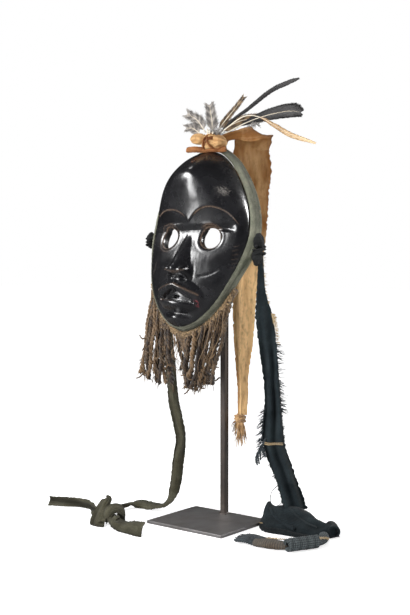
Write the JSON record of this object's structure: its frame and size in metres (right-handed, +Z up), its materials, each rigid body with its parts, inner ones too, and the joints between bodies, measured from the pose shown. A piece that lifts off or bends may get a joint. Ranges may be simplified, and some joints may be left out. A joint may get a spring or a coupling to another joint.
{
  "type": "carved face mask on a stand",
  "caption": "Black carved wooden face mask with round eye holes, cloth rim, fibre beard and feathered crest, held by a square bar on a flat plate, with cloth strips trailing to the floor.",
  "frame": {"origin": "centre of the base plate's underside, on the surface the stand rests on", "axes": "+Z up, the face looks along -Y and +X is the viewer's right"},
  "size_m": [0.4144, 0.1778, 0.5585],
  "materials": {
    "blackened_steel": "dark satin, worn to bronze-brown on the bar",
    "carved_wood": "polished black patina, rubbed red-brown on brows, eye rims and lips",
    "olive_cloth": "coarse faded cotton, grey-green",
    "tan_hide": "dry ochre hide, mottled",
    "rust_hide": "rust-brown twisted hide",
    "plant_fibre": "brown twisted fibre with golden ends",
    "indigo_cloth": "blue-black cotton, frayed",
    "black_cloth": "matt black cotton",
    "dark_feather": "black-grey vane with a pale quill",
    "tan_feather": "tan vane with a pale quill",
    "brown_feather": "brown speckled vane",
    "grey_feather": "barred grey-brown down"
  },
  "bodies": {
    "root": {"base_plate": "blackened_steel", "stand_rod": "blackened_steel", "mask": "carved_wood", "rim_band": "olive_cloth", "beard": "plant_fibre", "ear_knot_right": "black_cloth", "ear_knot_left": "black_cloth", "crest_band": "rust_hide", "crest_knot": "tan_hide", "back_strip": "tan_hide", "back_strip_end": "tan_hide", "indigo_strip": "indigo_cloth", "indigo_heap": "indigo_cloth", "woven_end": "indigo_cloth", "olive_strip": "olive_cloth", "olive_knot": "olive_cloth", "olive_end_left": "olive_cloth", "olive_end_right": "olive_cloth", "feather_long_black": "dark_feather", "feather_broad_black": "dark_feather", "feather_tan": "tan_feather", "feather_speckled": "brown_feather", "feather_brown": "brown_feather", "plume_grey_upright": "grey_feather", "plume_grey_left": "grey_feather", "plume_grey_low": "grey_feather"}
  },
  "joints": []
}
